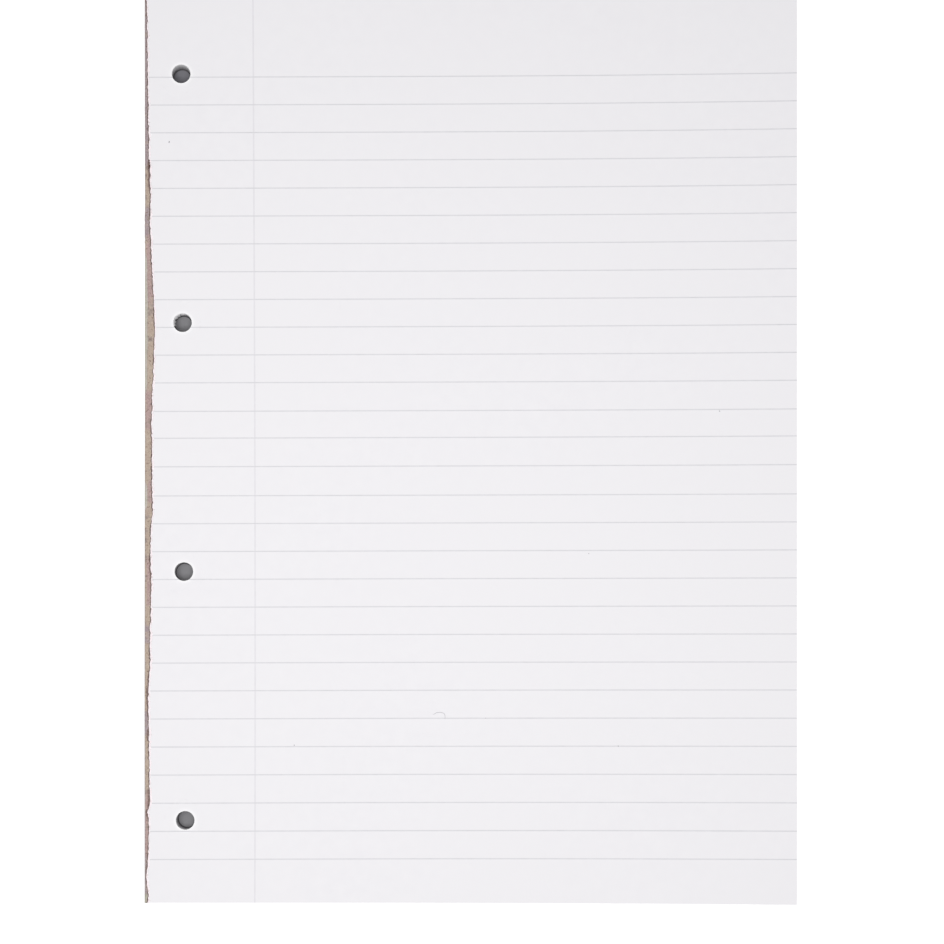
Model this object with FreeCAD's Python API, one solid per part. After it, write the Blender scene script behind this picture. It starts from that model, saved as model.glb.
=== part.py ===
import FreeCAD, Part
import math
import os

# A side-bound writing pad: a block of ruled, punched leaves on a grey board, gummed
# along the spine and held in a card wrap. The front cover has been torn off, and what
# is left of it is a ragged strip of card over the first leaf's binding edge.
#
# Millimetres. The origin is the middle of the pad's underside. +X runs from the spine
# to the fore edge, +Y to the head of the leaves, and +Z up through them.

# Whole pad, trimmed
pad_width = 209.3
pad_height = 297.0

# Leaves. Held tight by the gum at the spine, they loosen towards the fore edge.
leaf_count = 80
leaf_thickness = 0.09
flat_width = 60.0
fore_edge_lift = 4.0

# Board, gum and card
board_thickness = 0.7
gum_thickness = 0.3
card_thickness = 0.3
fold_radius = 0.5
rear_turn_in = 8.0

# Ring-binder holes, drilled through leaves and board in one stroke
hole_count = 4
hole_diameter = 6.0
hole_spacing = 80.0
hole_inset = 12.45
drill_offset = -2.0
drill_skew = 0.31

# Printed ruling, a little out of square with the trimmed edges
line_pitch = 8.98
line_width = 0.36
head_margin = 31.0
foot_margin = 14.5
side_margin = 35.15
margin_line_width = 0.5
print_skew = 0.17
ink_thickness = 0.02

# Torn edge of the card: (share of the height above the foot, card left on the leaf).
# The tear slopes, so the card is narrower on top than where it lies on the leaf.
tear_slope = 0.2
tear_line = [
    (0.000, 1.05), (0.003, 1.46), (0.009, 1.60), (0.018, 1.10), (0.027, 0.72), (0.036, 1.05),
    (0.060, 1.40), (0.083, 1.70), (0.093, 1.45), (0.098, 1.08), (0.106, 1.95),
    (0.131, 1.75), (0.150, 1.72), (0.174, 1.52), (0.196, 1.50), (0.217, 1.28),
    (0.239, 1.55), (0.262, 1.95), (0.304, 1.96), (0.325, 2.22), (0.347, 2.35),
    (0.369, 2.08), (0.390, 2.05), (0.412, 2.35), (0.434, 2.75), (0.455, 2.55),
    (0.477, 2.40), (0.498, 2.50), (0.520, 2.30), (0.542, 2.55), (0.563, 2.72),
    (0.585, 3.15), (0.607, 3.30), (0.628, 3.32), (0.650, 3.05), (0.672, 2.80),
    (0.693, 2.35), (0.715, 2.20), (0.736, 1.82), (0.758, 2.02), (0.780, 1.96),
    (0.797, 1.92), (0.806, 1.55), (0.845, 1.36), (0.888, 1.23), (0.931, 1.15),
    (0.974, 0.90), (1.000, 0.82),
]

# Worked out from the sizes above
block_thickness = leaf_count * leaf_thickness
spine_x = -pad_width / 2
fore_x = pad_width / 2
foot_y = -pad_height / 2
head_y = pad_height / 2
leaf_x = spine_x + card_thickness + gum_thickness
lift_x = spine_x + flat_width
board_z = card_thickness
leaf_z = board_z + board_thickness
sheet_z = leaf_z + block_thickness
stub_z = sheet_z + card_thickness
clear = 1.0


def up_the_pad(section):
    """Draws a section, which lies in the foot plane, along the pad's whole height."""
    return section.extrude(FreeCAD.Vector(0, pad_height, 0))


def at_foot(x, z):
    return FreeCAD.Vector(x, foot_y, z)


def joined(corners):
    """Straight edges from each corner to the next."""
    pairs = zip(corners, corners[1:])
    return [Part.LineSegment(first, second).toShape() for first, second in pairs]


def round_fold(x, z, radius, side):
    """A quarter circle about x, z, from the spine side to the top (1) or bottom (-1)."""
    reach = radius * math.sqrt(0.5)
    outer = at_foot(x - radius, z)
    middle = at_foot(x - reach, z + side * reach)
    level = at_foot(x, z + side * radius)
    return Part.Arc(outer, middle, level).toShape()


def fold_section(inset, right_x):
    """The outline inside the wrap's outer face by inset: square, with round folds."""
    radius = fold_radius - inset
    left = spine_x + inset
    low = inset
    high = stub_z - inset
    turn_x = left + radius
    panel = joined([at_foot(left, low + radius), at_foot(left, high - radius)])
    lower_leg = joined([at_foot(turn_x, low), at_foot(right_x, low)])
    upper_leg = joined([at_foot(turn_x, high), at_foot(right_x, high)])
    opening = joined([at_foot(right_x, low), at_foot(right_x, high)])
    low_fold = round_fold(turn_x, low + radius, radius, -1)
    high_fold = round_fold(turn_x, high - radius, radius, 1)
    edges = panel + lower_leg + upper_leg + opening + [low_fold, high_fold]
    return Part.Face(Part.Wire(Part.__sortEdges__(edges)))


def top_line(raise_by):
    """The top leaf's line in section, gum to fore edge, and the two ends of it."""
    run = fore_x - lift_x
    radius = (run ** 2 + fore_edge_lift ** 2) / (2 * fore_edge_lift)
    half_turn = math.asin(run / radius) / 2
    low = sheet_z + raise_by
    start = at_foot(leaf_x, low)
    bend = at_foot(lift_x, low)
    middle_rise = radius * (1 - math.cos(half_turn))
    middle = at_foot(lift_x + radius * math.sin(half_turn), low + middle_rise)
    end = at_foot(fore_x, low + fore_edge_lift)
    edges = [Part.LineSegment(start, bend).toShape(), Part.Arc(bend, middle, end).toShape()]
    return edges, start, end


def ring_holes():
    """The drill's path through the whole pad, one bit to each hole."""
    skew = math.radians(drill_skew)
    depth = stub_z + 2 * clear
    bits = []
    for index in range(hole_count):
        along = (index - (hole_count - 1) / 2) * hole_spacing
        x = spine_x + hole_inset - along * math.sin(skew)
        y = drill_offset + along * math.cos(skew)
        base = FreeCAD.Vector(x, y, -clear)
        bits.append(Part.makeCylinder(hole_diameter / 2, depth, base))
    return Part.Compound(bits)


def page_block():
    """All the leaves as one block: flat by the spine, lifted to the fore edge."""
    top, start, end = top_line(0)
    sides = joined([end, at_foot(fore_x, leaf_z), at_foot(leaf_x, leaf_z), start])
    return up_the_pad(Part.Face(Part.Wire(top + sides)))


def back_board():
    """Grey board, as large as a leaf, under the last one."""
    width = fore_x - leaf_x
    corner = FreeCAD.Vector(leaf_x, foot_y, board_z)
    return Part.makeBox(width, pad_height, board_thickness, corner)


def spine_gum():
    """The film of padding gum between the leaves' binding edge and the card."""
    inside_wrap = up_the_pad(fold_section(card_thickness, leaf_x + clear))
    corner = FreeCAD.Vector(leaf_x, foot_y - clear, -clear)
    beyond = Part.makeBox(2 * clear, pad_height + 2 * clear, stub_z + 2 * clear, corner)
    return inside_wrap.cut(beyond)


def torn_away():
    """The space that the front cover left: everything right of the torn edge."""
    right_x = spine_x + rear_turn_in + 2 * clear
    points = [FreeCAD.Vector(right_x, foot_y - clear, sheet_z)]
    first_width = tear_line[0][1]
    last_width = tear_line[-1][1]
    points.append(FreeCAD.Vector(spine_x + first_width, foot_y - clear, sheet_z))
    for share, width in tear_line:
        y = foot_y + share * pad_height
        points.append(FreeCAD.Vector(spine_x + width, y, sheet_z))
    points.append(FreeCAD.Vector(spine_x + last_width, head_y + clear, sheet_z))
    points.append(FreeCAD.Vector(right_x, head_y + clear, sheet_z))
    points.append(points[0])
    outline = Part.Face(Part.makePolygon(points))
    return outline.extrude(FreeCAD.Vector(-2 * tear_slope, 0, 2 * card_thickness))


def cover_wrap():
    """Card round the spine: rear turn-in, spine panel and the torn front strip."""
    right_x = spine_x + rear_turn_in
    outer = up_the_pad(fold_section(0, right_x))
    inner = up_the_pad(fold_section(card_thickness, right_x + clear))
    return outer.cut(inner).cut(torn_away())


def ink_layer():
    """A skin of ink over the whole top leaf, from which the ruling is taken."""
    under, start, end = top_line(0)
    over, high_start, high_end = top_line(ink_thickness)
    ends = joined([start, high_start]) + joined([end, high_end])
    outline = Part.Wire(Part.__sortEdges__(under + over + ends))
    return up_the_pad(Part.Face(outline))


def printed_bar(length, width, centre, angle):
    """A tall bar over the sheet, turned by angle about the sheet's middle."""
    height = fore_edge_lift + 2 * clear
    corner = centre + FreeCAD.Vector(-length / 2, -width / 2, sheet_z - clear)
    bar = Part.makeBox(length, width, height, corner)
    bar.rotate(FreeCAD.Vector(0, 0, 0), FreeCAD.Vector(0, 0, 1), angle)
    return bar


def margin_bar():
    x = spine_x + side_margin
    centre = FreeCAD.Vector(0, -x, 0)
    length = pad_height + 2 * pad_width
    return printed_bar(length, margin_line_width, centre, 90 + print_skew)


def feint_bars():
    ruled_height = pad_height - head_margin - foot_margin
    count = int(ruled_height / line_pitch) + 1
    length = pad_width + 2 * line_pitch
    bars = []
    for index in range(count):
        y = foot_y + foot_margin + index * line_pitch
        centre = FreeCAD.Vector(0, y, 0)
        bars.append(printed_bar(length, line_width, centre, print_skew))
    return Part.Compound(bars)


def save(node, shape):
    solids = shape.Solids
    if not solids or not all(solid.isValid() for solid in solids):
        raise ValueError(node + " is not made of valid solids")
    whole = solids[0] if len(solids) == 1 else Part.Compound(solids)
    whole.exportStep("parts/" + node + ".step")
    print(node, len(solids), "solids", round(whole.Volume, 1), "mm3", whole.BoundBox)


os.makedirs("parts", exist_ok=True)
holes = ring_holes()
wrap = cover_wrap()
skin = ink_layer().cut(wrap).cut(holes)
margin = margin_bar()
save("page_block", page_block().cut(holes))
save("back_board", back_board().cut(holes))
save("spine_gum", spine_gum())
save("cover_wrap", wrap.cut(holes))
save("margin_line", skin.common(margin))
save("feint_ruling", skin.cut(margin).common(feint_bars()))
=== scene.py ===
import math

import bpy
import numpy as np
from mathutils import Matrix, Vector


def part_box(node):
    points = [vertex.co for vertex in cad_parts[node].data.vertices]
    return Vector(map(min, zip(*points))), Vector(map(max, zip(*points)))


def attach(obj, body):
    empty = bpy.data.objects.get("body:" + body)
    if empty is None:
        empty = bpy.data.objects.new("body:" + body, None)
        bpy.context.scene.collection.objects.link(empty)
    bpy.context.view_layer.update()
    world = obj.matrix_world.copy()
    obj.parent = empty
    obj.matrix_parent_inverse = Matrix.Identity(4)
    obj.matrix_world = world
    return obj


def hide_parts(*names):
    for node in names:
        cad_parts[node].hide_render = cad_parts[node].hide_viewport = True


# A side-bound writing pad with its front cover torn off, dressed around its packed
# model. Metres. +X runs from the spine to the fore edge, +Y to the head, +Z up.

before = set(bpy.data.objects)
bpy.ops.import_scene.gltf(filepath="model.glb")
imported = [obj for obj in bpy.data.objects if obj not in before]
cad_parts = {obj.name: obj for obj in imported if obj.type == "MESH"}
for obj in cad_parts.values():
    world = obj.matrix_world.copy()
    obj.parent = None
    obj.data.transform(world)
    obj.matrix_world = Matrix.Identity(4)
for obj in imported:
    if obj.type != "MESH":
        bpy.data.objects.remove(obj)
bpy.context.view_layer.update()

MM = 0.001

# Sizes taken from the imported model
leaf_low, leaf_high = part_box("page_block")
wrap_low, wrap_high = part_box("cover_wrap")
gum_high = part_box("spine_gum")[1]
board_low, board_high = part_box("back_board")
SPINE_X = wrap_low.x
LEAF_X = leaf_low.x
FORE_X = leaf_high.x
FOOT_Y = leaf_low.y
HEAD_Y = leaf_high.y
LEAF_Z = leaf_low.z
SHEET_Z = gum_high.z
LIFT = leaf_high.z - SHEET_Z
CARD = board_low.z
STUB_Z = SHEET_Z + CARD
TURN_IN_X = wrap_high.x
HEIGHT = HEAD_Y - FOOT_Y

# Sizes repeated from the model's source
FLAT_WIDTH = 60 * MM
FOLD_RADIUS = 0.5 * MM
LEAF_COUNT = 80
HOLE_COUNT = 4
HOLE_RADIUS = 3 * MM
HOLE_SPACING = 80 * MM
HOLE_INSET = 12.45 * MM
DRILL_OFFSET = -2 * MM
DRILL_SKEW = math.radians(0.31)
LINE_PITCH = 8.98 * MM
LINE_WIDTH = 0.36 * MM
HEAD_MARGIN = 31 * MM
FOOT_MARGIN = 14.5 * MM
SIDE_MARGIN = 35.15 * MM
MARGIN_WIDTH = 0.5 * MM
PRINT_SKEW = math.radians(0.17)
INK = 0.02 * MM

LEAF = (SHEET_Z - LEAF_Z) / LEAF_COUNT
LIFT_X = SPINE_X + FLAT_WIDTH

# The camera hangs this far above the top leaf and sees this much of it
CAMERA_DISTANCE = 800 * MM
VIEW_WIDTH = 303.46 * MM
VIEW_CENTRE = (0.65 * MM, -10.0 * MM)
PHOTO_SIZE = 944
SENSOR = 36

# The leaves shifted a little after drilling, so each hole's lower end, from the foot
# to the head, is off to the spine and the foot by this much
HOLE_LEANS = ((-0.24, -0.48), (-0.55, -0.55), (-0.5, -0.35), (-0.55, -0.38))


def from_photo(px, py):
    """The place on the top leaf of a point in the photograph's pixels."""
    per_pixel = VIEW_WIDTH / PHOTO_SIZE
    x = VIEW_CENTRE[0] + (px - PHOTO_SIZE / 2) * per_pixel
    y = VIEW_CENTRE[1] - (py - PHOTO_SIZE / 2) * per_pixel
    return x, y


# Seeded waves, the same on each run

KNOTS = 512


def ease(share):
    return share * share * (3 - 2 * share)


def wave(u, step, seed):
    """A smooth random wave along u, from -1 to 1, that changes about every step."""
    knots = np.random.default_rng(seed).uniform(-1, 1, KNOTS)
    place = np.asarray(u, float) / step
    low = np.floor(place).astype(int)
    share = ease(place - low)
    return knots[low % KNOTS] * (1 - share) + knots[(low + 1) % KNOTS] * share


def wave_2d(u, v, step, seed):
    """A smooth random surface over u and v, from -1 to 1."""
    knots = np.random.default_rng(seed).uniform(-1, 1, (KNOTS, KNOTS))
    place_u = np.asarray(u, float) / step
    place_v = np.asarray(v, float) / step
    low_u = np.floor(place_u).astype(int)
    low_v = np.floor(place_v).astype(int)
    share_u = ease(place_u - low_u)
    share_v = ease(place_v - low_v)
    left = low_u % KNOTS
    right = (low_u + 1) % KNOTS
    bottom = low_v % KNOTS
    top = (low_v + 1) % KNOTS
    lower = knots[left, bottom] * (1 - share_u) + knots[right, bottom] * share_u
    upper = knots[left, top] * (1 - share_u) + knots[right, top] * share_u
    return lower * (1 - share_v) + upper * share_v


# The leaves' shape

def lift(x):
    """How far the top leaf stands up at x: an arc that starts flat, as in the model."""
    run = FORE_X - LIFT_X
    radius = (run ** 2 + LIFT ** 2) / (2 * LIFT)
    along = np.clip(np.asarray(x, float) - LIFT_X, 0, None)
    return radius - np.sqrt(radius ** 2 - along ** 2)


def hole_centres(z):
    """Where the four holes are at height z."""
    depth = (SHEET_Z - z) / SHEET_Z
    centres = []
    for index in range(HOLE_COUNT):
        along = (index - (HOLE_COUNT - 1) / 2) * HOLE_SPACING
        x = SPINE_X + HOLE_INSET - along * math.sin(DRILL_SKEW)
        y = DRILL_OFFSET + along * math.cos(DRILL_SKEW)
        lean_x, lean_y = HOLE_LEANS[index]
        centres.append((x + lean_x * MM * depth, y + lean_y * MM * depth))
    return centres


COCKLE = 0.09 * MM
COCKLE_STEP = 46 * MM
RIM_DIP = 0.03 * MM
RIM_WIDTH = 0.7 * MM


def top_of_sheet(x, y):
    """The height of the top leaf: its lift, a faint cockle and pressed hole rims."""
    x = np.asarray(x, float)
    y = np.asarray(y, float)
    free = np.clip((x - LEAF_X) / (FORE_X - LEAF_X), 0, 1)
    cockle = COCKLE * free * (wave_2d(x, y * 0.6, COCKLE_STEP, 3) - 1)
    dip = np.zeros(np.broadcast(x, y).shape)
    for centre_x, centre_y in hole_centres(SHEET_Z):
        beyond = np.hypot(x - centre_x, y - centre_y) - HOLE_RADIUS
        dip = dip + RIM_DIP * np.exp(-np.clip(beyond, 0, None) / RIM_WIDTH)
    return SHEET_Z + lift(x) + cockle - dip


# Leaves that stand off the one under them, counted from the bottom
WIDE_GAPS = (41, 55, 63, 70, 75)
GAP_DEPTH = 1.4 * MM
GROOVE_DEPTH = 0.09 * MM


def leaf_spread():
    """How much of the lift each leaf has: the looser, the nearer to the top."""
    rng = np.random.default_rng(11)
    share = np.arange(1, LEAF_COUNT) / (LEAF_COUNT - 1)
    gaps = rng.uniform(0.4, 1.6, LEAF_COUNT - 1) * (0.3 + share ** 2)
    for index in WIDE_GAPS:
        gaps[index] += 4.0
    gaps[-1] += 3.0
    return np.concatenate([[0], np.cumsum(gaps) / gaps.sum()])


SPREAD = leaf_spread()


# Meshes

SHARP_ANGLE = math.radians(35)
TOP_GRID = 4 * MM
BLOCK_GRID = 7 * MM
TILE_STEPS = 12


def add_mesh(name, points, faces, smooth=True):
    mesh = bpy.data.meshes.new(name)
    mesh.from_pydata([tuple(p) for p in points], [], [tuple(f) for f in faces])
    mesh.validate()
    mesh.polygons.foreach_set("use_smooth", [smooth] * len(mesh.polygons))
    mesh.update()
    piece = bpy.data.objects.new(name, mesh)
    bpy.context.scene.collection.objects.link(piece)
    return piece


def add_values(piece, name, values):
    """A number at each point, for the material to read."""
    attribute = piece.data.attributes.new(name, "FLOAT", "POINT")
    attribute.data.foreach_set("value", np.asarray(values, np.float32))


def band(lower, upper):
    """Faces from one closed loop of points to the next one up."""
    count = len(lower)
    faces = []
    for index in range(count):
        after = (index + 1) % count
        faces.append((lower[index], lower[after], upper[after], upper[index]))
    return faces


def join_rings(faces, rings):
    """Faces over loops of points that follow one another."""
    for lower, upper in zip(rings, rings[1:]):
        faces += band(lower, upper)


def close_tube(faces, start, sides, count):
    """Faces over count rings of new points, and over the tube's two ends."""
    rings = []
    for ring in range(count):
        first = start + ring * sides
        rings.append(list(range(first, first + sides)))
    join_rings(faces, rings)
    faces.append(rings[0][::-1])
    faces.append(rings[-1])


def lay(points, plan, height):
    """Adds a plan's points at their heights, and gives their numbers."""
    first = len(points)
    heights = np.broadcast_to(height, len(plan))
    points += [(spot[0], spot[1], z) for spot, z in zip(plan, heights)]
    return list(range(first, len(points)))


def cap(faces, plan_faces, bottom, top):
    """The plan's faces, facing down on the bottom points and up on the top ones."""
    for face in plan_faces:
        faces.append([bottom[index] for index in reversed(face)])
        faces.append([top[index] for index in face])


class Plan:
    """A leaf's plan: a grid with a round hole in each of its tiles."""

    TILE = 20 * MM
    RINGS = (0.0, 0.03, 0.06, 0.1, 0.16, 0.3, 0.6)

    def __init__(self, spacing, tile_steps):
        tile_x = np.linspace(LEAF_X, LEAF_X + self.TILE, tile_steps + 1)
        rest = FORE_X - tile_x[-1]
        rest_x = np.linspace(tile_x[-1], FORE_X, int(rest / spacing) + 1)
        self.x_lines = np.concatenate([tile_x, rest_x[1:]])
        self.columns = tile_steps
        y_lines = [FOOT_Y]
        self.tile_rows = []
        for _, centre_y in hole_centres(SHEET_Z):
            low = centre_y - self.TILE / 2
            steps = max(1, int((low - y_lines[-1]) / spacing))
            y_lines += list(np.linspace(y_lines[-1], low, steps + 1)[1:])
            self.tile_rows.append(len(y_lines) - 1)
            y_lines += list(np.linspace(low, low + self.TILE, tile_steps + 1)[1:])
        steps = int((HEAD_Y - y_lines[-1]) / spacing)
        y_lines += list(np.linspace(y_lines[-1], HEAD_Y, steps + 1)[1:])
        self.y_lines = np.array(y_lines)

    def in_tile(self, column, row):
        if column >= self.columns:
            return False
        return any(start <= row < start + self.columns for start in self.tile_rows)

    def build(self, z):
        """Points, faces, the outer loop and the hole loops at about height z."""
        wide = len(self.x_lines)
        tall = len(self.y_lines)
        points = []
        number = {}
        for row in range(tall):
            for column in range(wide):
                inside = 0 < column < self.columns and any(
                    start < row < start + self.columns for start in self.tile_rows
                )
                if not inside:
                    number[column, row] = len(points)
                    points.append((self.x_lines[column], self.y_lines[row]))
        faces = []
        for row in range(tall - 1):
            for column in range(wide - 1):
                if not self.in_tile(column, row):
                    corners = [(0, 0), (1, 0), (1, 1), (0, 1)]
                    faces.append([number[column + a, row + b] for a, b in corners])
        holes = []
        for start, centre in zip(self.tile_rows, hole_centres(z)):
            holes.append(self.fill_tile(start, centre, number, points, faces))
        last = wide - 1
        top = tall - 1
        loop = [number[column, 0] for column in range(wide)]
        loop += [number[last, row] for row in range(1, tall)]
        loop += [number[column, top] for column in range(last - 1, -1, -1)]
        loop += [number[0, row] for row in range(top - 1, 0, -1)]
        return np.array(points), faces, loop, holes

    def fill_tile(self, start, centre, number, points, faces):
        size = self.columns
        border = [number[column, start] for column in range(size)]
        border += [number[size, start + row] for row in range(size)]
        border += [number[column, start + size] for column in range(size, 0, -1)]
        border += [number[0, start + row] for row in range(size, 0, -1)]
        outer = np.array([points[index] for index in border])
        away = outer - np.array(centre)
        away = away / np.linalg.norm(away, axis=1)[:, None]
        circle = np.array(centre) + away * HOLE_RADIUS
        rings = []
        for share in self.RINGS:
            rings.append(range(len(points), len(points) + len(border)))
            points += [tuple(p) for p in circle * (1 - share) + outer * share]
        rings.append(border)
        for inner, outside in zip(rings, rings[1:]):
            faces += [face[::-1] for face in band(inner, outside)]
        return list(rings[0])


def inset_loop(points, loop, distance, near, far):
    """The outer loop's points, drawn in from the foot, fore and head edges."""
    spots = np.array([points[index] for index in loop])
    edge = 1e-9
    at_fore = spots[:, 0] > FORE_X - edge
    at_foot = spots[:, 1] < FOOT_Y + edge
    at_head = spots[:, 1] > HEAD_Y - edge
    spots[:, 0] -= np.where(at_fore, distance + far, 0)
    spots[:, 1] += np.where(at_foot, distance + near, 0)
    spots[:, 1] -= np.where(at_head, distance + near, 0)
    return spots


def top_leaf(points, faces):
    """The leaf on top, a thin closed sheet of its own with its four holes."""
    plan, plan_faces, loop, holes = Plan(TOP_GRID, TILE_STEPS).build(SHEET_Z)
    plan[loop] = inset_loop(plan, loop, 0.0, 0.02 * MM, 0.05 * MM)
    height = top_of_sheet(plan[:, 0], plan[:, 1])
    top = lay(points, plan, height)
    bottom = lay(points, plan, height - LEAF)
    cap(faces, plan_faces, bottom, top)
    for ring in [loop] + [hole[::-1] for hole in holes]:
        faces += band([bottom[index] for index in ring], [top[index] for index in ring])


def block_levels():
    """The block's outline from the bottom up: (leaf, height in leaves, draw-in)."""
    rng = np.random.default_rng(29)
    drift = 0.1 * MM * (1 + wave(np.arange(LEAF_COUNT), 9, 5))
    levels = []
    for leaf in range(LEAF_COUNT - 1):
        inset = drift[leaf] + rng.uniform(0, 0.07) * MM
        loose = leaf in WIDE_GAPS or leaf - 1 in WIDE_GAPS
        if loose or leaf == LEAF_COUNT - 2:
            levels.append((leaf, 0.08, inset))
            levels.append((leaf, 0.92, inset))
        else:
            levels.append((leaf, 0.5, inset))
        if leaf < LEAF_COUNT - 2:
            deep = GAP_DEPTH if leaf in WIDE_GAPS else GROOVE_DEPTH
            levels.append((leaf + 0.5, 0.5, inset + deep))
    return levels


def leaf_height(leaf, share, x):
    """The height at x, share of the way through a leaf's thickness or gap."""
    low = int(leaf)
    spread = SPREAD[low]
    if leaf != low:
        spread = (SPREAD[low] + SPREAD[low + 1]) / 2
        share = 1.0
    return LEAF_Z + (low + share) * LEAF + lift(x) * spread


def leaf_stack(points, faces):
    """The leaves under the top one: one closed block with each leaf's edge in relief."""
    layout = Plan(BLOCK_GRID, TILE_STEPS)
    levels = block_levels()
    bottom_plan, plan_faces, loop, holes = layout.build(LEAF_Z)
    top_plan = layout.build(SHEET_Z)[0]
    ends = []
    for plan, level in ((bottom_plan, (0, 0.0, levels[0][2])), (top_plan, levels[-1])):
        leaf, share, inset = level
        plan[loop] = inset_loop(plan, loop, inset, 0, 0)
        ends.append(lay(points, plan, leaf_height(leaf, share, plan[:, 0])))
    bottom, top = ends
    cap(faces, plan_faces, bottom, top)
    flat_plan = layout.build(SHEET_Z)[0]
    rings = [[bottom[index] for index in loop]]
    for leaf, share, inset in levels[:-1]:
        spots = inset_loop(flat_plan, loop, inset, 0, 0)
        rings.append(lay(points, spots, leaf_height(leaf, share, spots[:, 0])))
    rings.append([top[index] for index in loop])
    join_rings(faces, rings)
    rng = np.random.default_rng(41)
    for number, hole in enumerate(holes):
        rings = [[bottom[index] for index in hole]]
        around = np.array([top_plan[index] for index in hole])
        around = around - np.array(hole_centres(SHEET_Z)[number])
        for leaf in range(2, LEAF_COUNT - 2, 2):
            z = LEAF_Z + leaf * LEAF
            centre = np.array(hole_centres(z)[number])
            reach = 1 + rng.uniform(-0.012, 0.012)
            rings.append(lay(points, centre + around * reach, z))
        rings.append([top[index] for index in hole])
        join_rings(faces, [ring[::-1] for ring in rings])


def make_leaves():
    points = []
    faces = []
    top_leaf(points, faces)
    leaf_stack(points, faces)
    piece = add_mesh("leaves", points, faces)
    piece.data.set_sharp_from_angle(angle=SHARP_ANGLE)
    spots = np.array(points)
    near_rim = np.zeros(len(spots))
    for x, y in hole_centres(SHEET_Z):
        beyond = np.hypot(spots[:, 0] - x, spots[:, 1] - y) - HOLE_RADIUS
        near_rim = np.maximum(near_rim, np.exp(-(np.clip(beyond, 0, None) / RIM_WIDTH) ** 2))
    add_values(piece, "hole_rim", near_rim * (spots[:, 2] > SHEET_Z - 2 * LEAF))
    in_hole = np.zeros(len(spots))
    for number in range(HOLE_COUNT):
        centres = np.array([hole_centres(z)[number] for z in spots[:, 2]])
        reach = np.hypot(*(spots[:, :2] - centres).T)
        in_hole = np.maximum(in_hole, reach < HOLE_RADIUS + 0.2 * MM)
    # Depth down each hole, which the paper's material turns into painted shade on the hole walls.
    depth = np.clip((SHEET_Z - spots[:, 2]) / (SHEET_Z - LEAF_Z), 0, 1)
    add_values(piece, "hole_wall", in_hole * (0.05 + 0.95 * depth))
    return piece


BOARD_ROUND = 0.08 * MM
# How far the board's holes narrow at the bottom, into a dark ring of painted shade.
SHADE_RING_WIDTH = 0.26 * MM


def make_board():
    """The grey board, drilled with the leaves: its holes narrow at the bottom into a dark grey
    ring of painted shade.
    """
    points = []
    faces = []
    plans = []
    levels = ((board_low.z, BOARD_ROUND), (board_low.z + BOARD_ROUND, 0.0),
              (board_high.z - BOARD_ROUND, 0.0), (board_high.z, BOARD_ROUND))
    layout = Plan(BLOCK_GRID, TILE_STEPS)
    for z, inset in levels:
        plan, plan_faces, loop, holes = layout.build(z)
        plan[loop] = inset_loop(plan, loop, inset, 0, 0)
        if z < LEAF_Z - 0.3 * MM:
            for hole, centre in zip(holes, hole_centres(z)):
                away = plan[hole] - np.array(centre)
                plan[hole] = np.array(centre) + away * (1 - SHADE_RING_WIDTH / HOLE_RADIUS)
        plans.append(plan)
    bottom = lay(points, plans[0], levels[0][0])
    top = lay(points, plans[-1], levels[-1][0])
    cap(faces, plan_faces, bottom, top)
    for ring in [loop] + [hole[::-1] for hole in holes]:
        rings = [[bottom[index] for index in ring]]
        for (z, _), plan in zip(levels[1:-1], plans[1:-1]):
            rings.append(lay(points, plan[ring], z))
        rings.append([top[index] for index in ring])
        join_rings(faces, rings)
    piece = add_mesh("drilled_board", points, faces)
    piece.data.set_sharp_from_angle(angle=SHARP_ANGLE)
    spots = np.array(points)
    # The board's hole walls, which its material paints dark grey as shade.
    shade_ring = np.zeros(len(spots))
    for x, y in hole_centres(board_low.z):
        reach = np.hypot(spots[:, 0] - x, spots[:, 1] - y)
        shade_ring = np.maximum(shade_ring, reach < HOLE_RADIUS + 0.1 * MM)
    add_values(piece, "shade_ring", shade_ring)
    return piece


# The printed ruling

def across_holes(offset):
    """Where a printed line at this distance from the sheet's middle meets the holes."""
    along = np.array([math.cos(PRINT_SKEW), math.sin(PRINT_SKEW)])
    across = np.array([-along[1], along[0]])
    gaps = []
    for centre in hole_centres(SHEET_Z):
        miss = float(np.dot(across, centre)) - offset
        if abs(miss) < HOLE_RADIUS:
            half = math.sqrt(HOLE_RADIUS ** 2 - miss ** 2)
            middle = float(np.dot(along, centre))
            gaps.append((middle - half, middle + half))
    return gaps


# How far the printing crept along the sheet: (line from the foot up, millimetres)
PRINT_CREEP = ((0, -0.28), (3, -0.08), (6, 0.02), (10, -0.06), (13, -0.15), (14, 0.23),
               (15, 0.43), (16, 0.08), (17, 0.27), (21, 0.02), (25, -0.1), (28, -0.26))
FORE_RISE = 0.22 * MM
MARGIN_SKEW = math.radians(0.115)
MARGIN_BOW = 0.34 * MM

# The margin line's ink is thinner, so the feint lines show across it
MARGIN_INK = 0.6 * INK

# Closer steps near a strip's ends, in millimetres, and the longest step between
END_STEPS = (0.0, 0.15, 0.4, 0.8, 1.4, 2.2)
LONG_STEP = 3 * MM


def print_stations(length):
    """Shares of a strip's length, closer together near its ends."""
    near = np.array(END_STEPS) * MM / length
    near = near[near < 0.4]
    middle = np.linspace(0, 1, int(length / LONG_STEP) + 2)
    middle = middle[(middle > near[-1] + 0.02) & (middle < 0.98 - near[-1])]
    return np.concatenate([near, middle, 1 - near[::-1]])


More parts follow.
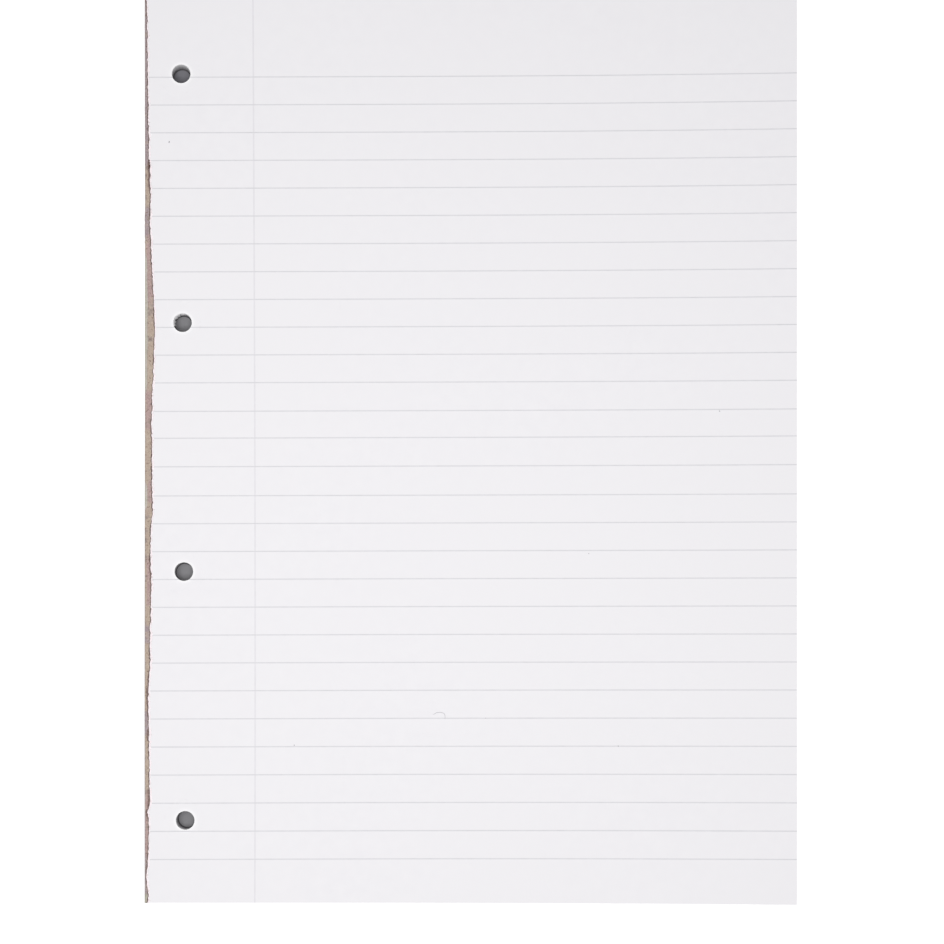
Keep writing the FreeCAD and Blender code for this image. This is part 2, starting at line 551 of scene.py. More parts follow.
def print_strip(points, faces, starts, ends, offsets, upright):
    """One strip of ink on the top leaf, between its low and high edges."""
    share = print_stations(ends[0] - starts[0])
    turn = math.pi / 2 + MARGIN_SKEW if upright else PRINT_SKEW
    ink = MARGIN_INK if upright else INK
    corners = []
    for start, end, offset in zip(starts, ends, offsets):
        run = start + (end - start) * share
        if upright:
            offset = offset - MARGIN_BOW * np.sin(math.pi * share ** 0.8)
        else:
            up_the_page = (offset - FOOT_Y) / HEIGHT
            offset = offset + FORE_RISE * up_the_page * np.clip(run / FORE_X, 0, 1) ** 3
        x = run * math.cos(turn) - offset * math.sin(turn)
        y = run * math.sin(turn) + offset * math.cos(turn)
        height = top_of_sheet(x, y)
        corners.append(np.stack([x, y, height + 0.1 * INK], 1))
        corners.append(np.stack([x, y, height + ink], 1))
    low_under, low_over, high_under, high_over = corners
    start = len(points)
    for ring in zip(low_over, high_over, high_under, low_under):
        points += [tuple(p) for p in ring]
    close_tube(faces, start, 4, len(share))


def make_feint():
    """The feint lines, stopped at the torn edge and the holes, over the margin line."""
    points = []
    faces = []
    ruled = (HEAD_Y - HEAD_MARGIN) - (FOOT_Y + FOOT_MARGIN)
    count = round(ruled / LINE_PITCH) + 1
    half = LINE_WIDTH / 2
    lines, creep = zip(*PRINT_CREEP)
    for index in range(count):
        offset = FOOT_Y + FOOT_MARGIN + index * LINE_PITCH
        offset += float(np.interp(index, lines, creep)) * MM
        y = offset + SPINE_X * math.sin(PRINT_SKEW)
        shift = math.sin(PRINT_SKEW) * offset
        covered = float(tear_width(y) + 0.75 * fringe_width(y))
        begin = SPINE_X + covered + shift
        edges = [offset - half, offset + half]
        starts = [begin, begin]
        for low, high in zip(across_holes(edges[0]), across_holes(edges[1])):
            print_strip(points, faces, starts, [low[0], high[0]], edges, False)
            starts = [low[1], high[1]]
        end = FORE_X + shift - 0.08 * MM
        print_strip(points, faces, starts, [end, end], edges, False)
    return add_mesh("feint_lines", points, faces, smooth=False)


def make_margin():
    points = []
    faces = []
    half = MARGIN_WIDTH / 2
    offset = -(SPINE_X + SIDE_MARGIN)
    shift = math.sin(MARGIN_SKEW) * offset
    start = FOOT_Y + shift + 0.05 * MM
    end = HEAD_Y + shift - 0.05 * MM
    edges = [offset - half, offset + half]
    print_strip(points, faces, [start, start], [end, end], edges, True)
    return add_mesh("margin_rule", points, faces, smooth=False)


# The card wrap and its torn edge

def tear_from_model():
    """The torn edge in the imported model: heights up the pad and card left there."""
    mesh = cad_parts["cover_wrap"].data
    widest = {}
    for vertex in mesh.vertices:
        at_leaf = abs(vertex.co.z - SHEET_Z) < 0.01 * MM
        if at_leaf and vertex.co.x < SPINE_X + 5 * MM:
            key = round(vertex.co.y, 6)
            widest[key] = max(widest.get(key, 0), vertex.co.x - SPINE_X)
    heights = sorted(widest)
    return np.array(heights), np.array([widest[key] for key in heights])


TEAR_Y, TEAR_WIDTH = tear_from_model()
TEAR_LEAST = 0.42 * MM
WRAP_STEP = 0.22 * MM

# How much the tear's edge has crumbled away: (metres up the page, millimetres lost)
CRUMBLED = ((-0.148, 0.19), (-0.1, 0.15), (-0.04, 0.13), (-0.01, 0.08), (0.07, 0.06),
            (0.148, 0.2))

# Tints of the torn card, where each lies: photograph rows from and to, and the share
# of the way from the spine to the tear from and to
TINTS = {
    "grey_green": ((262, 384, 0.0, 0.15), (488, 504, 0.0, 0.15), (898, 912, 0.0, 1.0)),
    "pink": ((240, 296, 0.45, 1.0), (396, 424, 0.25, 1.0), (484, 500, 0.6, 1.0),
             (566, 600, 0.5, 1.0), (800, 850, 0.3, 1.0)),
    "mauve": ((-30, 160, 0.0, 1.0), (212, 236, 0.1, 1.0), (629, 641, 0.0, 1.0),
              (715, 730, 0.0, 0.8), (820, 896, 0.0, 1.0)),
    "brown": ((166, 186, 0.8, 1.0), (175, 179, 0.0, 0.2), (560, 584, 0.9, 1.0),
              (672, 684, 0.8, 1.0), (688, 701, 0.6, 1.0), (704, 714, 0.8, 1.0),
              (731, 740, 0.7, 1.0), (793, 806, 0.7, 1.0), (810, 818, 0.6, 1.0),
              (852, 878, 0.8, 1.0)),
}


def tear_width(y):
    """How much card is left at this height, with the tear's fine raggedness."""
    places, lost = zip(*CRUMBLED)
    width = np.interp(y, TEAR_Y, TEAR_WIDTH) - np.interp(y, places, lost) * MM
    ragged = 0.1 * wave(y, 1.5 * MM, 17) + 0.1 * wave(y, 0.6 * MM, 18)
    nibs = np.clip(wave(y, 1.1 * MM, 19) - 0.4, 0, None)
    width = width + (ragged + 0.35 * nibs) * MM
    return np.maximum(width, TEAR_LEAST)


def fringe_width(y):
    """How far the card's thin white lining runs on past the tear."""
    reach = 0.5 + 0.2 * wave(y, 2.6 * MM, 20) + 0.13 * wave(y, 0.7 * MM, 21)
    return np.clip(reach, 0.15, 0.85) * MM


def within(value, low, high, soft):
    """1 from low to high, falling smoothly to 0 over soft outside them."""
    rise = np.clip((value - low) / soft + 1, 0, 1)
    fall = np.clip((high - value) / soft + 1, 0, 1)
    return ease(rise) * ease(fall)


def tint_strength(places, y, across):
    row = PHOTO_SIZE / 2 - (y - VIEW_CENTRE[1]) * PHOTO_SIZE / VIEW_WIDTH
    strength = np.zeros(len(row))
    for low, high, near, far in places:
        side = within(across, near if near > 0 else -1, far if far < 1 else 2, 0.3)
        soft = min(12, (high - low) / 2)
        strength = np.maximum(strength, within(row, low, high, soft) * side)
    return strength


def make_wrap():
    """Torn card round the spine: worn skin at the fold, bare core, dark torn edge."""
    stations = int(HEIGHT / WRAP_STEP)
    y = np.linspace(FOOT_Y, HEAD_Y, stations + 1)
    width = tear_width(y)
    fringe = fringe_width(y)
    green = tint_strength(TINTS["grey_green"][:2], y, np.zeros(len(y)))
    skin_wave = 0.12 * wave(y, 4 * MM, 31) + 0.07 * wave(y, 0.9 * MM, 32)
    skin_reach = (0.24 + 0.75 * green + skin_wave) * MM
    skin_reach = np.clip(skin_reach, 0.1 * MM, width * 0.45)
    rim = (0.3 + 0.14 * wave(y, 1.7 * MM, 33)) * MM
    core_end = np.maximum(width - rim, skin_reach + 0.08 * MM)
    ones = np.ones(len(y))
    core = SHEET_Z + 0.6 * CARD
    bow = 0.16 * MM * (1 + np.cos((y - 0.055) / HEIGHT * 2 * math.pi)) / 2
    loops = []
    plies = []

    def section(from_spine, z, ply):
        loops.append(np.stack([SPINE_X + from_spine * ones, y, z * ones], 1))
        plies.append(ply)

    section(width + fringe, SHEET_Z, 3)
    section(width + fringe - 0.02 * MM, SHEET_Z + 0.03 * MM, 3)
    for share in (0.66, 0.33):
        rough = 0.012 * MM * wave(y, 0.5 * MM, 34 + int(10 * share))
        section(width + fringe * share, SHEET_Z + 0.045 * MM + rough, 3)
    section(width + 0.03 * MM, SHEET_Z + 0.05 * MM, 3)
    section(width, SHEET_Z + 0.1 * MM, 2)
    for step, share in enumerate((0.4, 0.8)):
        x = width + (core_end - width) * share
        rough = 0.03 * MM * wave(y, 0.6 * MM, 36 + step)
        section(x, SHEET_Z + (0.1 + 0.08 * share) * MM + rough, 2)
    for step, share in enumerate((0.0, 0.2, 0.4, 0.6, 0.8, 1.0)):
        x = core_end + (skin_reach + 0.03 * MM - core_end) * share
        rough = 0.035 * MM * wave(y + step * 3 * MM, 0.75 * MM, 40 + step)
        section(x, core + rough, 1)
    skin = STUB_Z + 0.01 * MM * (wave(y, 0.9 * MM, 49) - 1)
    section(skin_reach, skin, 0)
    for turn in (10, 32.5, 55, 77.5, 90):
        angle = math.radians(turn)
        x = FOLD_RADIUS * (1 - math.sin(angle))
        z = STUB_Z - FOLD_RADIUS * (1 - math.cos(angle))
        section(np.minimum(x, skin_reach * 0.8) + bow, z - 0.01 * MM, 0)
    for share in (0.75, 0.5, 0.25):
        dent = 0.025 * MM * (1 + wave(y + share * 9 * MM, 13 * MM, 51))
        section(bow + dent, STUB_Z * share, 0)
    for turn in (90, 45, 0):
        angle = math.radians(turn)
        x = FOLD_RADIUS * (1 - math.sin(angle))
        z = FOLD_RADIUS * (1 - math.cos(angle))
        section(x, z, 0)
    end = TURN_IN_X - SPINE_X - 0.06 * MM * (1 + wave(y, 2.3 * MM, 52))
    section(end, 0, 0)
    section(end, CARD, 1)
    inner = FOLD_RADIUS - CARD
    for x, z in ((CARD + inner, CARD), (CARD, CARD + inner), (CARD, SHEET_Z - inner)):
        section(x, z, 1)
    section(CARD + 0.02 * MM, SHEET_Z, 1)
    around = len(loops)
    points = np.stack(loops, 1).reshape(-1, 3)
    faces = []
    close_tube(faces, 0, around, stations + 1)
    piece = add_mesh("torn_wrap", points, faces)
    add_values(piece, "ply", np.tile(np.array(plies, float), stations + 1))
    from_spine = points[:, 0] - SPINE_X
    across = np.clip(from_spine / np.repeat(width, around), 0, 1)
    on_top = ease(np.clip((points[:, 2] - SHEET_Z) / (1.8 * MM) + 1, 0, 1))
    to_fold = np.clip(np.minimum(points[:, 2], STUB_Z - points[:, 2]), 0, None)
    to_fold = to_fold + np.clip(from_spine - FOLD_RADIUS, 0, None)
    add_values(piece, "worn", np.exp(-to_fold / (0.7 * MM)))
    for name, places in TINTS.items():
        strength = tint_strength(places, points[:, 1], across)
        add_values(piece, name, strength * on_top)
    return piece


def tuft(points, faces, root, reach, half, rise):
    """A tapered shred of torn fibre, from its root to where it lies on the leaf."""
    sides = 4
    steps = 4
    start = len(points)
    reach = np.array(reach)
    across = np.array([-reach[1], reach[0]]) / np.linalg.norm(reach)
    for step in range(steps):
        share = step / (steps - 1)
        middle = np.array(root[:2]) + reach * share
        size = half * (1 - 0.8 * share)
        middle_z = root[2] + rise * math.sin(math.pi * (0.25 + 0.75 * share))
        for side in range(sides):
            angle = 2 * math.pi * side / sides
            spot = middle + across * size * math.cos(angle)
            z = middle_z + 0.4 * size * math.sin(angle)
            points.append((spot[0], spot[1], z))
    close_tube(faces, start, sides, steps)


TUFT_COUNT = 560


def make_tufts():
    """Pale shreds of card lining along the tear."""
    rng = np.random.default_rng(71)
    points = []
    faces = []
    for _ in range(TUFT_COUNT):
        y = rng.uniform(FOOT_Y + 1 * MM, HEAD_Y - 1 * MM)
        reach_out = float(tear_width(y) + rng.uniform(-0.1, 0.8) * fringe_width(y))
        length = rng.uniform(0.2, 0.6) * MM
        lean = rng.normal(0, 0.9)
        reach = (length * math.cos(lean), length * math.sin(lean))
        half = rng.uniform(0.03, 0.08) * MM
        root = (SPINE_X + reach_out, y, SHEET_Z + 0.05 * MM)
        tuft(points, faces, root, reach, half, 0.05 * MM)
    return add_mesh("tear_tufts", points, faces)


# The roughest hole, and where round its rim the torn fibres hang
ROUGH_HOLE = 2
RIM_FIBRES = 90
ROUGH_FROM = math.radians(84)
ROUGH_TO = math.radians(196)


def make_rim_fibres():
    """Torn paper fibres that hang into the roughest hole, at its spine and head side."""
    rng = np.random.default_rng(73)
    centre = hole_centres(SHEET_Z)[ROUGH_HOLE]
    points = []
    faces = []
    for _ in range(RIM_FIBRES):
        angle = rng.uniform(ROUGH_FROM, ROUGH_TO)
        depth = rng.uniform(0.0, 1.2) ** 2 * MM
        reach_out = HOLE_RADIUS + 0.12 * MM
        x = centre[0] + reach_out * math.cos(angle)
        y = centre[1] + reach_out * math.sin(angle)
        length = rng.uniform(0.35, 1.1) * MM
        turn = angle + math.pi + rng.normal(0, 0.7)
        reach = (length * math.cos(turn), length * math.sin(turn))
        half = rng.uniform(0.05, 0.13) * MM
        tuft(points, faces, (x, y, SHEET_Z - 0.05 * MM - depth), reach, half, 0.04 * MM)
    return add_mesh("rim_fibres", points, faces)


def crumb(points, faces, centre, size, rng):
    """A small uneven lump."""
    rings = 4
    sides = 8
    start = len(points)
    bumps = rng.uniform(0.7, 1.3, (rings, sides))
    for ring in range(rings):
        rise = math.radians(-50 + 130 * ring / (rings - 1))
        for side in range(sides):
            angle = 2 * math.pi * side / sides
            reach = math.cos(rise) * bumps[ring, side]
            x = centre[0] + size[0] * reach * math.cos(angle)
            y = centre[1] + size[1] * reach * math.sin(angle)
            points.append((x, y, centre[2] + size[2] * math.sin(rise)))
    close_tube(faces, start, sides, rings)


# The largest scraps: place in the photograph, half width and half length in millimetres
SCRAPS = ((149.1, 160.8, 0.26, 0.42), (149.6, 163.2, 0.2, 0.3),
          (149.5, 166.0, 0.34, 0.62), (149.1, 168.6, 0.24, 0.3))

# The small ones: how many lie between these shares of the height
SMALL_SCRAPS = ((0.02, 0.28, 40), (0.28, 0.62, 26), (0.62, 0.97, 30))


def make_crumbs():
    """Dark scraps along the tear, the largest under the fourth line."""
    rng = np.random.default_rng(83)
    points = []
    faces = []
    for px, py, wide, tall in SCRAPS:
        x, y = from_photo(px, py)
        spot = (x, y, SHEET_Z + 0.14 * MM)
        crumb(points, faces, spot, (wide * MM, tall * MM, 0.14 * MM), rng)
    for low, high, count in SMALL_SCRAPS:
        for _ in range(count):
            y = FOOT_Y + rng.uniform(low, high) * HEIGHT
            x = SPINE_X + float(tear_width(y)) - rng.uniform(0.02, 0.35) * MM
            size = rng.uniform(0.06, 0.16) * MM
            spot = (x, y, SHEET_Z + 0.12 * MM)
            crumb(points, faces, spot, (size, size * rng.uniform(1, 3), size * 0.6), rng)
    return add_mesh("dark_tear_crumbs", points, faces)


# Small marks on the top leaf, placed by the photograph: specks with their radius in
# millimetres, and the bends of a hair

SPECKS = ((169.2, 142, 0.26), (588.6, 553.4, 0.16), (718.7, 411.3, 0.2),
          (294.2, 745.2, 0.18), (618, 745.6, 0.2), (485.6, 718, 0.16))
HAIR = ((433.5, 714.5), (436, 712.6), (440.5, 712.2), (444.3, 713.2), (445.2, 716),
        (445, 718.6))
HAIR_HALF = 0.06 * MM


def make_specks():
    rng = np.random.default_rng(97)
    points = []
    faces = []
    for px, py, radius in SPECKS:
        x, y = from_photo(px, py)
        z = float(top_of_sheet(x, y)) + 0.01 * MM
        crumb(points, faces, (x, y, z), (radius * MM, radius * MM, 0.05 * MM), rng)
    return add_mesh("dust_specks", points, faces)


def make_hair():
    """A short curved hair of paper dust near the foot."""
    spots = np.array([from_photo(px, py) for px, py in HAIR])
    place = np.linspace(0, len(spots) - 1, 24)
    x = np.interp(place, range(len(spots)), spots[:, 0])
    y = np.interp(place, range(len(spots)), spots[:, 1])
    soften = np.array([0.25, 0.5, 0.25])
    for _ in range(4):
        x[1:-1] = np.convolve(x, soften, "valid")
        y[1:-1] = np.convolve(y, soften, "valid")
    line = np.stack([x, y, top_of_sheet(x, y) + HAIR_HALF], 1)
    sides = 6
    points = []
    faces = []
    for step, spot in enumerate(line):
        ahead = line[min(step + 1, len(line) - 1)] - line[max(step - 1, 0)]
        across = np.array([-ahead[1], ahead[0], 0]) / np.linalg.norm(ahead[:2])
        for side in range(sides):
            angle = 2 * math.pi * side / sides
            offset = across * math.cos(angle) + np.array([0, 0, 1]) * math.sin(angle)
            points.append(tuple(spot + offset * HAIR_HALF))
    close_tube(faces, 0, sides, len(line))
    return add_mesh("dust_hair", points, faces)


# Materials

def srgb(red, green, blue):
    """A colour as it looks in a picture, 0 to 255, made linear."""
    out = []
    for level in (red, green, blue):
        share = level / 255
        low = share <= 0.04045
        out.append(share / 12.92 if low else ((share + 0.055) / 1.055) ** 2.4)
    return (*out, 1.0)


class Shader:
    """A material's node tree, with the few steps that these materials need."""

    def __init__(self, name, roughness, specular=0.3):
        self.material = bpy.data.materials.new(name)
        self.material.use_nodes = True
        self.nodes = self.material.node_tree.nodes
        self.links = self.material.node_tree.links
        self.surface = self.nodes["Principled BSDF"]
        self.surface.inputs["Roughness"].default_value = roughness
        self.surface.inputs["Specular IOR Level"].default_value = specular
        self.place = self.nodes.new("ShaderNodeNewGeometry").outputs["Position"]

    def stretched(self, x, y, z):
        node = self.nodes.new("ShaderNodeVectorMath")
        node.operation = "MULTIPLY"
        node.inputs[1].default_value = (x, y, z)
        self.links.new(self.place, node.inputs[0])
        return node.outputs[0]

    def noise(self, scale, detail=3.0, vector=None):
        node = self.nodes.new("ShaderNodeTexNoise")
        node.inputs["Scale"].default_value = scale
        node.inputs["Detail"].default_value = detail
        self.links.new(vector or self.place, node.inputs["Vector"])
        return node.outputs["Fac"]

    def value(self, name):
        node = self.nodes.new("ShaderNodeAttribute")
        node.attribute_name = name
        return node.outputs["Fac"]

    def ramp(self, factor, low, high):
        """Factor from low to high becomes 0 to 1, and stays within it."""
        node = self.nodes.new("ShaderNodeMapRange")
        node.inputs["From Min"].default_value = low
        node.inputs["From Max"].default_value = high
        node.clamp = True
        self.links.new(factor, node.inputs["Value"])
        return node.outputs["Result"]

    def patches(self, scale, detail, low, high):
        """Noise with its values from low to high spread over 0 to 1."""
        return self.ramp(self.noise(scale, detail), low, high)

    def math(self, operation, first, second):
        node = self.nodes.new("ShaderNodeMath")
        node.operation = operation
        for socket, item in zip(node.inputs, (first, second)):
            if isinstance(item, (int, float)):
                socket.default_value = item
            else:
                self.links.new(item, socket)
        return node.outputs[0]

    def mix(self, factor, first, second):
        node = self.nodes.new("ShaderNodeMix")
        node.data_type = "RGBA"
        self.links.new(factor, node.inputs[0])
        for socket, item in zip(node.inputs[6:8], (first, second)):
            if isinstance(item, tuple):
                socket.default_value = item
            else:
                self.links.new(item, socket)
        return node.outputs[2]

    def colour(self, colour):
        self.links.new(colour, self.surface.inputs["Base Color"])

    def bump(self, height, distance, strength=1.0):
        node = self.nodes.new("ShaderNodeBump")
        node.inputs["Distance"].default_value = distance
        node.inputs["Strength"].default_value = strength
        self.links.new(height, node.inputs["Height"])
        self.links.new(node.outputs["Normal"], self.surface.inputs["Normal"])


def paper_material():
    """White writing paper: faint cloudy formation, felt side bump, layered edges, and hole walls
    painted from light at the rim to shade deep down.
    """
    shader = Shader("writing_paper", 0.85, 0.2)
    cloud = shader.patches(260, 4, 0.3, 0.7)
    drift = shader.patches(14, 2, 0.3, 0.7)
    sheet = shader.mix(cloud, srgb(240.2, 239.4, 243.2), srgb(242.6, 241.8, 245.2))
    sheet = shader.mix(drift, sheet, srgb(241.6, 240.8, 244))
    layers = shader.noise(1, 2, shader.stretched(40, 40, 9000))
    edge = shader.mix(shader.ramp(layers, 0.3, 0.7), srgb(214, 212, 210), srgb(240, 239, 239))
    # Painted light and shade: the hole walls are painted near white at the rim and dark grey deep
    # down, darker with depth.
    wall = shader.value("hole_wall")
    bright = shader.mix(shader.ramp(layers, 0.3, 0.7), srgb(238, 238, 240), srgb(254, 254, 255))
    wall_shade = shader.mix(shader.ramp(wall, 0.25, 1.0), bright, srgb(146, 144, 148))
    edge = shader.mix(shader.ramp(wall, 0.0, 0.04), edge, wall_shade)
    normal = shader.nodes.new("ShaderNodeNewGeometry").outputs["True Normal"]
    split = shader.nodes.new("ShaderNodeSeparateXYZ")
    shader.links.new(normal, split.inputs[0])
    facing = shader.math("ABSOLUTE", split.outputs["Z"], 0)
    sheet = shader.mix(shader.value("hole_rim"), sheet, srgb(252, 252, 254))
    shader.colour(shader.mix(shader.ramp(facing, 0.5, 0.9), edge, sheet))
    shader.bump(shader.noise(3200, 5), 0.02 * MM, 0.35)
    return shader.material


def patchy_material(name, finish, noise, first, second):
    """Two colours in soft patches, with a roughness and specular level as its finish."""
    shader = Shader(name, *finish)
    shader.colour(shader.mix(shader.patches(*noise), first, second))
    return shader.material


def card_material():
    """Torn card: worn skin, tan core with tints, a dark torn edge of gum stain and painted shade,
    white lining.
    """
    shader = Shader("torn_card", 0.92, 0.15)
    ply = shader.value("ply")
    blotch = shader.noise(420, 3)
    fine = shader.noise(2300, 4)
    grain = shader.ramp(fine, 0.3, 0.7)

    def tinted(name, base, low, high):
        edge = shader.math("MULTIPLY", shader.math("SUBTRACT", blotch, 0.5), 2.6)
        strength = shader.ramp(shader.math("ADD", shader.value(name), edge), 0.2, 0.9)
        return shader.mix(strength, base, shader.mix(grain, low, high))

    core = shader.mix(grain, srgb(172, 154, 140), srgb(200, 186, 170))
    clouds = shader.patches(240, 3, 0.4, 0.62)
    core = shader.mix(shader.math("MULTIPLY", clouds, 0.4), core, srgb(180, 160, 150))
    core = tinted("mauve", core, srgb(150, 134, 138), srgb(182, 168, 171))
    core = tinted("pink", core, srgb(164, 139, 137), srgb(196, 173, 169))
    core = tinted("grey_green", core, srgb(170, 165, 150), srgb(192, 188, 174))
    core = tinted("brown", core, srgb(108, 88, 84), srgb(152, 132, 126))
    dots = shader.patches(1300, 2, 0.61, 0.68)
    core = shader.mix(shader.math("MULTIPLY", dots, 0.75), core, srgb(126, 104, 96))
    skin = shader.mix(grain, srgb(186, 175, 173), srgb(208, 198, 195))
    streaks = shader.noise(1, 3, shader.stretched(60, 60, 700))
    skin = shader.mix(shader.ramp(streaks, 0.35, 0.75), skin, srgb(180, 169, 168))
    scuffed = shader.patches(900, 3, 0.5, 0.6)
    scuffed = shader.math("MULTIPLY", scuffed, shader.value("worn"))
    skin = shader.mix(scuffed, skin, srgb(212, 203, 195))
    chips = shader.patches(330, 4, 0.66, 0.7)
    skin = shader.mix(shader.math("MULTIPLY", chips, 0.7), skin, srgb(206, 192, 178))
    skin = tinted("mauve", skin, srgb(172, 160, 162), srgb(202, 192, 193))
    skin = tinted("grey_green", skin, srgb(178, 173, 160), srgb(200, 195, 183))
    # Painted shade and gum: the torn edge is dark red-brown, partly gum stain and partly painted
    # shade where the card steps down to the leaf.
    edge = shader.mix(grain, srgb(92, 78, 76), srgb(136, 119, 113))
    paler = shader.patches(760, 2, 0.56, 0.66)
    edge = shader.mix(paler, edge, srgb(166, 150, 141))
    stain = shader.patches(1100, 2, 0.6, 0.66)
    edge = shader.mix(stain, edge, srgb(78, 56, 55))
    lining = shader.mix(grain, srgb(255, 239, 245), srgb(255, 251, 253))
    colour = shader.mix(shader.ramp(ply, 0.3, 0.7), skin, core)
    colour = shader.mix(shader.ramp(ply, 1.3, 1.7), colour, edge)
    shader.colour(shader.mix(shader.ramp(ply, 2.3, 2.7), colour, lining))
    shader.bump(shader.math("ADD", fine, shader.noise(700, 3)), 0.08 * MM, 0.7)
    return shader.material


def crumb_material():
    shader = Shader("dark_tear_scraps", 0.6, 0.3)
    patchy = shader.noise(1200, 3)
    shader.colour(shader.mix(shader.ramp(patchy, 0.35, 0.65), srgb(56, 42, 40), srgb(104, 72, 66)))
    shader.bump(patchy, 0.05 * MM, 0.6)
    return shader.material


def gum_material():
    """Brushed-on padding gum, dull red and uneven."""
    shader = Shader("padding_gum", 0.55, 0.35)
    streak = shader.noise(1, 4, shader.stretched(500, 120, 1500))
    shader.colour(shader.mix(shader.ramp(streak, 0.3, 0.7), srgb(120, 38, 40), srgb(166, 62, 60)))
    shader.bump(streak, 0.05 * MM, 0.6)
    return shader.material


def board_material():
    """Grey board pressed from waste paper: flecked faces and layered edges."""
    shader = Shader("grey_board", 0.93, 0.15)
    cloud = shader.patches(420, 5, 0.3, 0.7)
    base = shader.mix(cloud, srgb(150, 146, 139), srgb(176, 171, 163))
    dark = shader.patches(2100, 2, 0.66, 0.7)
    pale = shader.ramp(shader.noise(1700, 2, shader.stretched(1, 0.35, 1)), 0.68, 0.73)
    base = shader.mix(dark, base, srgb(96, 92, 90))
    base = shader.mix(pale, base, srgb(208, 204, 198))
    layers = shader.noise(1, 2, shader.stretched(90, 90, 7000))
    seam = shader.ramp(layers, 0.55, 0.7)
    base = shader.mix(shader.math("MULTIPLY", seam, 0.35), base, srgb(120, 114, 106))
    # Painted shade: the hole walls are dark grey, a ring of shade round the bottom of each hole.
    shade_ring = shader.mix(cloud, srgb(104, 103, 105), srgb(126, 125, 127))
    shader.colour(shader.mix(shader.value("shade_ring"), base, shade_ring))
    shader.bump(shader.noise(1400, 5), 0.05 * MM, 0.6)
    return shader.material


def dress(piece, material, slot, *nodes):
    piece.data.materials.clear()
    piece.data.materials.append(material)
    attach(piece, "root")
    if nodes:
        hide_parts(*nodes)


def dress_node(node, material):
    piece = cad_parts[node]
    piece.data.materials.clear()
    piece.data.materials.append(material)


INK_FINISH = (0.8, 0.2)
INK_PATCHES = (420, 3, 0.25, 0.75)
feint = patchy_material(
    "feint_ink", INK_FINISH, INK_PATCHES, srgb(224, 224, 228), srgb(217, 217, 221)
)
margin = patchy_material(
    "margin_ink", INK_FINISH, INK_PATCHES, srgb(234, 233, 238), srgb(229, 228, 232)
)
FIBRE_FINISH = (0.95, 0.1)
card_fibre = patchy_material(
    "card_fibre", FIBRE_FINISH, (900, 2, 0.4, 0.6), srgb(253, 248, 249), srgb(236, 226, 224)
)
paper_fibre = patchy_material(
    "paper_fibre", FIBRE_FINISH, (1100, 2, 0.4, 0.6), srgb(228, 228, 230), srgb(254, 254, 255)
)
dust = patchy_material(
    "dust", (0.9, 0.1), (2000, 2, 0, 1), srgb(168, 168, 172), srgb(196, 196, 200)
)

dress(make_leaves(), paper_material(), "leaves", "page_block")
dress(make_feint(), feint, "feint_ink", "feint_ruling")
dress(make_margin(), margin, "margin_ink", "margin_line")
dress(make_wrap(), card_material(), "torn_card", "cover_wrap")
dress(make_tufts(), card_fibre, "torn_card")
dress(make_crumbs(), crumb_material(), "padding_gum")
dress(make_specks(), dust, "feint_ink")
dress(make_hair(), dust, "feint_ink")
dress(make_rim_fibres(), paper_fibre, "leaves")
dress(make_board(), board_material(), "grey_board", "back_board")
dress_node("spine_gum", gum_material())


# Floor, light and camera

# The part of the floor's white that takes shadow, and the part that glows
SHOWN_GREY = (0.27, 0.27, 0.27, 1)
SHOWN_GLOW = 0.885

# The floor's tones: beside the pad, and, as painted shade, under the pad where it shows in the
# holes by the head and by the foot
FLOOR_TONE = (0.86, 0.86, 0.86, 1)
HEAD_HOLE_SHADE = (0.25, 0.249, 0.275, 1)
FOOT_HOLE_SHADE = (0.318, 0.318, 0.333, 1)
TONE_FROM = 0.1
TONE_PER_METRE = 25
FLOOR_HALF = 6.0
FLOOR_Z = -0.02 * MM
EDGE_COVER = 2 * MM


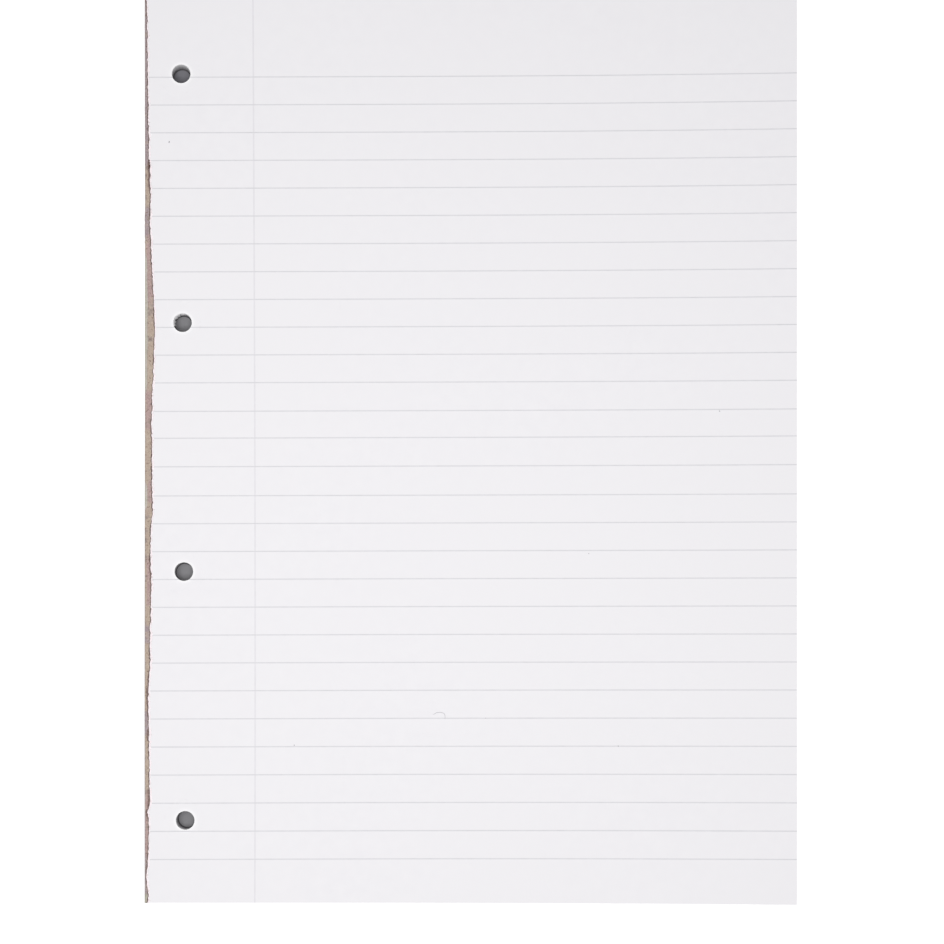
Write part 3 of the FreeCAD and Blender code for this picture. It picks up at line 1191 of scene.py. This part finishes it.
def make_floor():
    """A pale floor that the camera sees as white around the pad, with its shadow; under the pad it
    is painted dark grey, as the shade at the bottom of the holes.
    """
    mesh = bpy.data.meshes.new("floor")
    corners = [(-1, -1), (1, -1), (1, 1), (-1, 1)]
    points = [(x * FLOOR_HALF, y * FLOOR_HALF, FLOOR_Z) for x, y in corners]
    mesh.from_pydata(points, [], [(0, 1, 2, 3)])
    floor = bpy.data.objects.new("floor", mesh)
    bpy.context.scene.collection.objects.link(floor)
    shader = Shader("floor", 1.0, 0.0)
    nodes = shader.nodes
    links = shader.links
    glow = nodes.new("ShaderNodeEmission")
    glow.inputs["Strength"].default_value = SHOWN_GLOW
    shown = nodes.new("ShaderNodeBsdfDiffuse")
    shown.inputs["Color"].default_value = SHOWN_GREY
    both = nodes.new("ShaderNodeAddShader")
    links.new(shown.outputs[0], both.inputs[0])
    links.new(glow.outputs[0], both.inputs[1])
    rays = nodes.new("ShaderNodeLightPath").outputs
    split = nodes.new("ShaderNodeSeparateXYZ")
    links.new(shader.place, split.inputs[0])
    side = shader.math("ABSOLUTE", split.outputs["X"], 0)
    end = shader.math("ABSOLUTE", split.outputs["Y"], 0)
    beside = shader.math("GREATER_THAN", side, FORE_X - EDGE_COVER)
    beyond = shader.math("GREATER_THAN", end, HEAD_Y - EDGE_COVER)
    outside = shader.math("MAXIMUM", beside, beyond)
    seen = shader.math("MAXIMUM", rays["Is Camera Ray"], rays["Is Glossy Ray"])
    seen = shader.math("MAXIMUM", seen, rays["Is Transmission Ray"])
    shows = shader.math("MULTIPLY", outside, seen)
    down = shader.math("SUBTRACT", TONE_FROM, split.outputs["Y"])
    down = shader.math("MULTIPLY", down, TONE_PER_METRE)
    # Painted shade: under the pad the floor is dark grey, darker under the head hole, so the
    # holes' bottoms look shaded.
    under = shader.mix(down, HEAD_HOLE_SHADE, FOOT_HOLE_SHADE)
    shader.colour(shader.mix(outside, under, FLOOR_TONE))
    blend = nodes.new("ShaderNodeMixShader")
    links.new(shows, blend.inputs[0])
    links.new(shader.surface.outputs[0], blend.inputs[1])
    links.new(both.outputs[0], blend.inputs[2])
    links.new(blend.outputs[0], nodes["Material Output"].inputs["Surface"])
    mesh.materials.append(shader.material)


WORLD_LEVEL = 0.436


def make_world():
    """Even light from all round, and plain white where the camera sees past the floor."""
    world = bpy.data.worlds.new("studio")
    bpy.context.scene.world = world
    world.use_nodes = True
    nodes = world.node_tree.nodes
    links = world.node_tree.links
    light = nodes["Background"]
    light.inputs["Color"].default_value = (1.0, 0.995, 1.0, 1)
    light.inputs["Strength"].default_value = WORLD_LEVEL
    white = nodes.new("ShaderNodeBackground")
    white.inputs["Color"].default_value = (1, 1, 1, 1)
    white.inputs["Strength"].default_value = 1.0
    rays = nodes.new("ShaderNodeLightPath")
    blend = nodes.new("ShaderNodeMixShader")
    links.new(rays.outputs["Is Camera Ray"], blend.inputs[0])
    links.new(light.outputs[0], blend.inputs[1])
    links.new(white.outputs[0], blend.inputs[2])
    links.new(blend.outputs[0], nodes["World Output"].inputs["Surface"])


LAMP_PLACE = (-0.064, -0.062, 0.75)
LAMP_SIZE = 0.3
LAMP_POWER = 3.32


def make_lamp():
    data = bpy.data.lights.new("softbox", "AREA")
    data.shape = "SQUARE"
    data.size = LAMP_SIZE
    data.energy = LAMP_POWER
    data.color = (1.0, 0.99, 0.98)
    lamp = bpy.data.objects.new("softbox", data)
    lamp.location = LAMP_PLACE
    lamp.visible_camera = False
    bpy.context.scene.collection.objects.link(lamp)


def make_camera():
    data = bpy.data.cameras.new("camera")
    data.sensor_width = SENSOR
    data.lens = SENSOR * CAMERA_DISTANCE / VIEW_WIDTH
    camera = bpy.data.objects.new("camera", data)
    camera.location = (*VIEW_CENTRE, SHEET_Z + CAMERA_DISTANCE)
    bpy.context.scene.collection.objects.link(camera)
    bpy.context.scene.camera = camera


make_floor()
make_world()
make_lamp()
make_camera()
bpy.context.scene.view_settings.view_transform = "Standard"
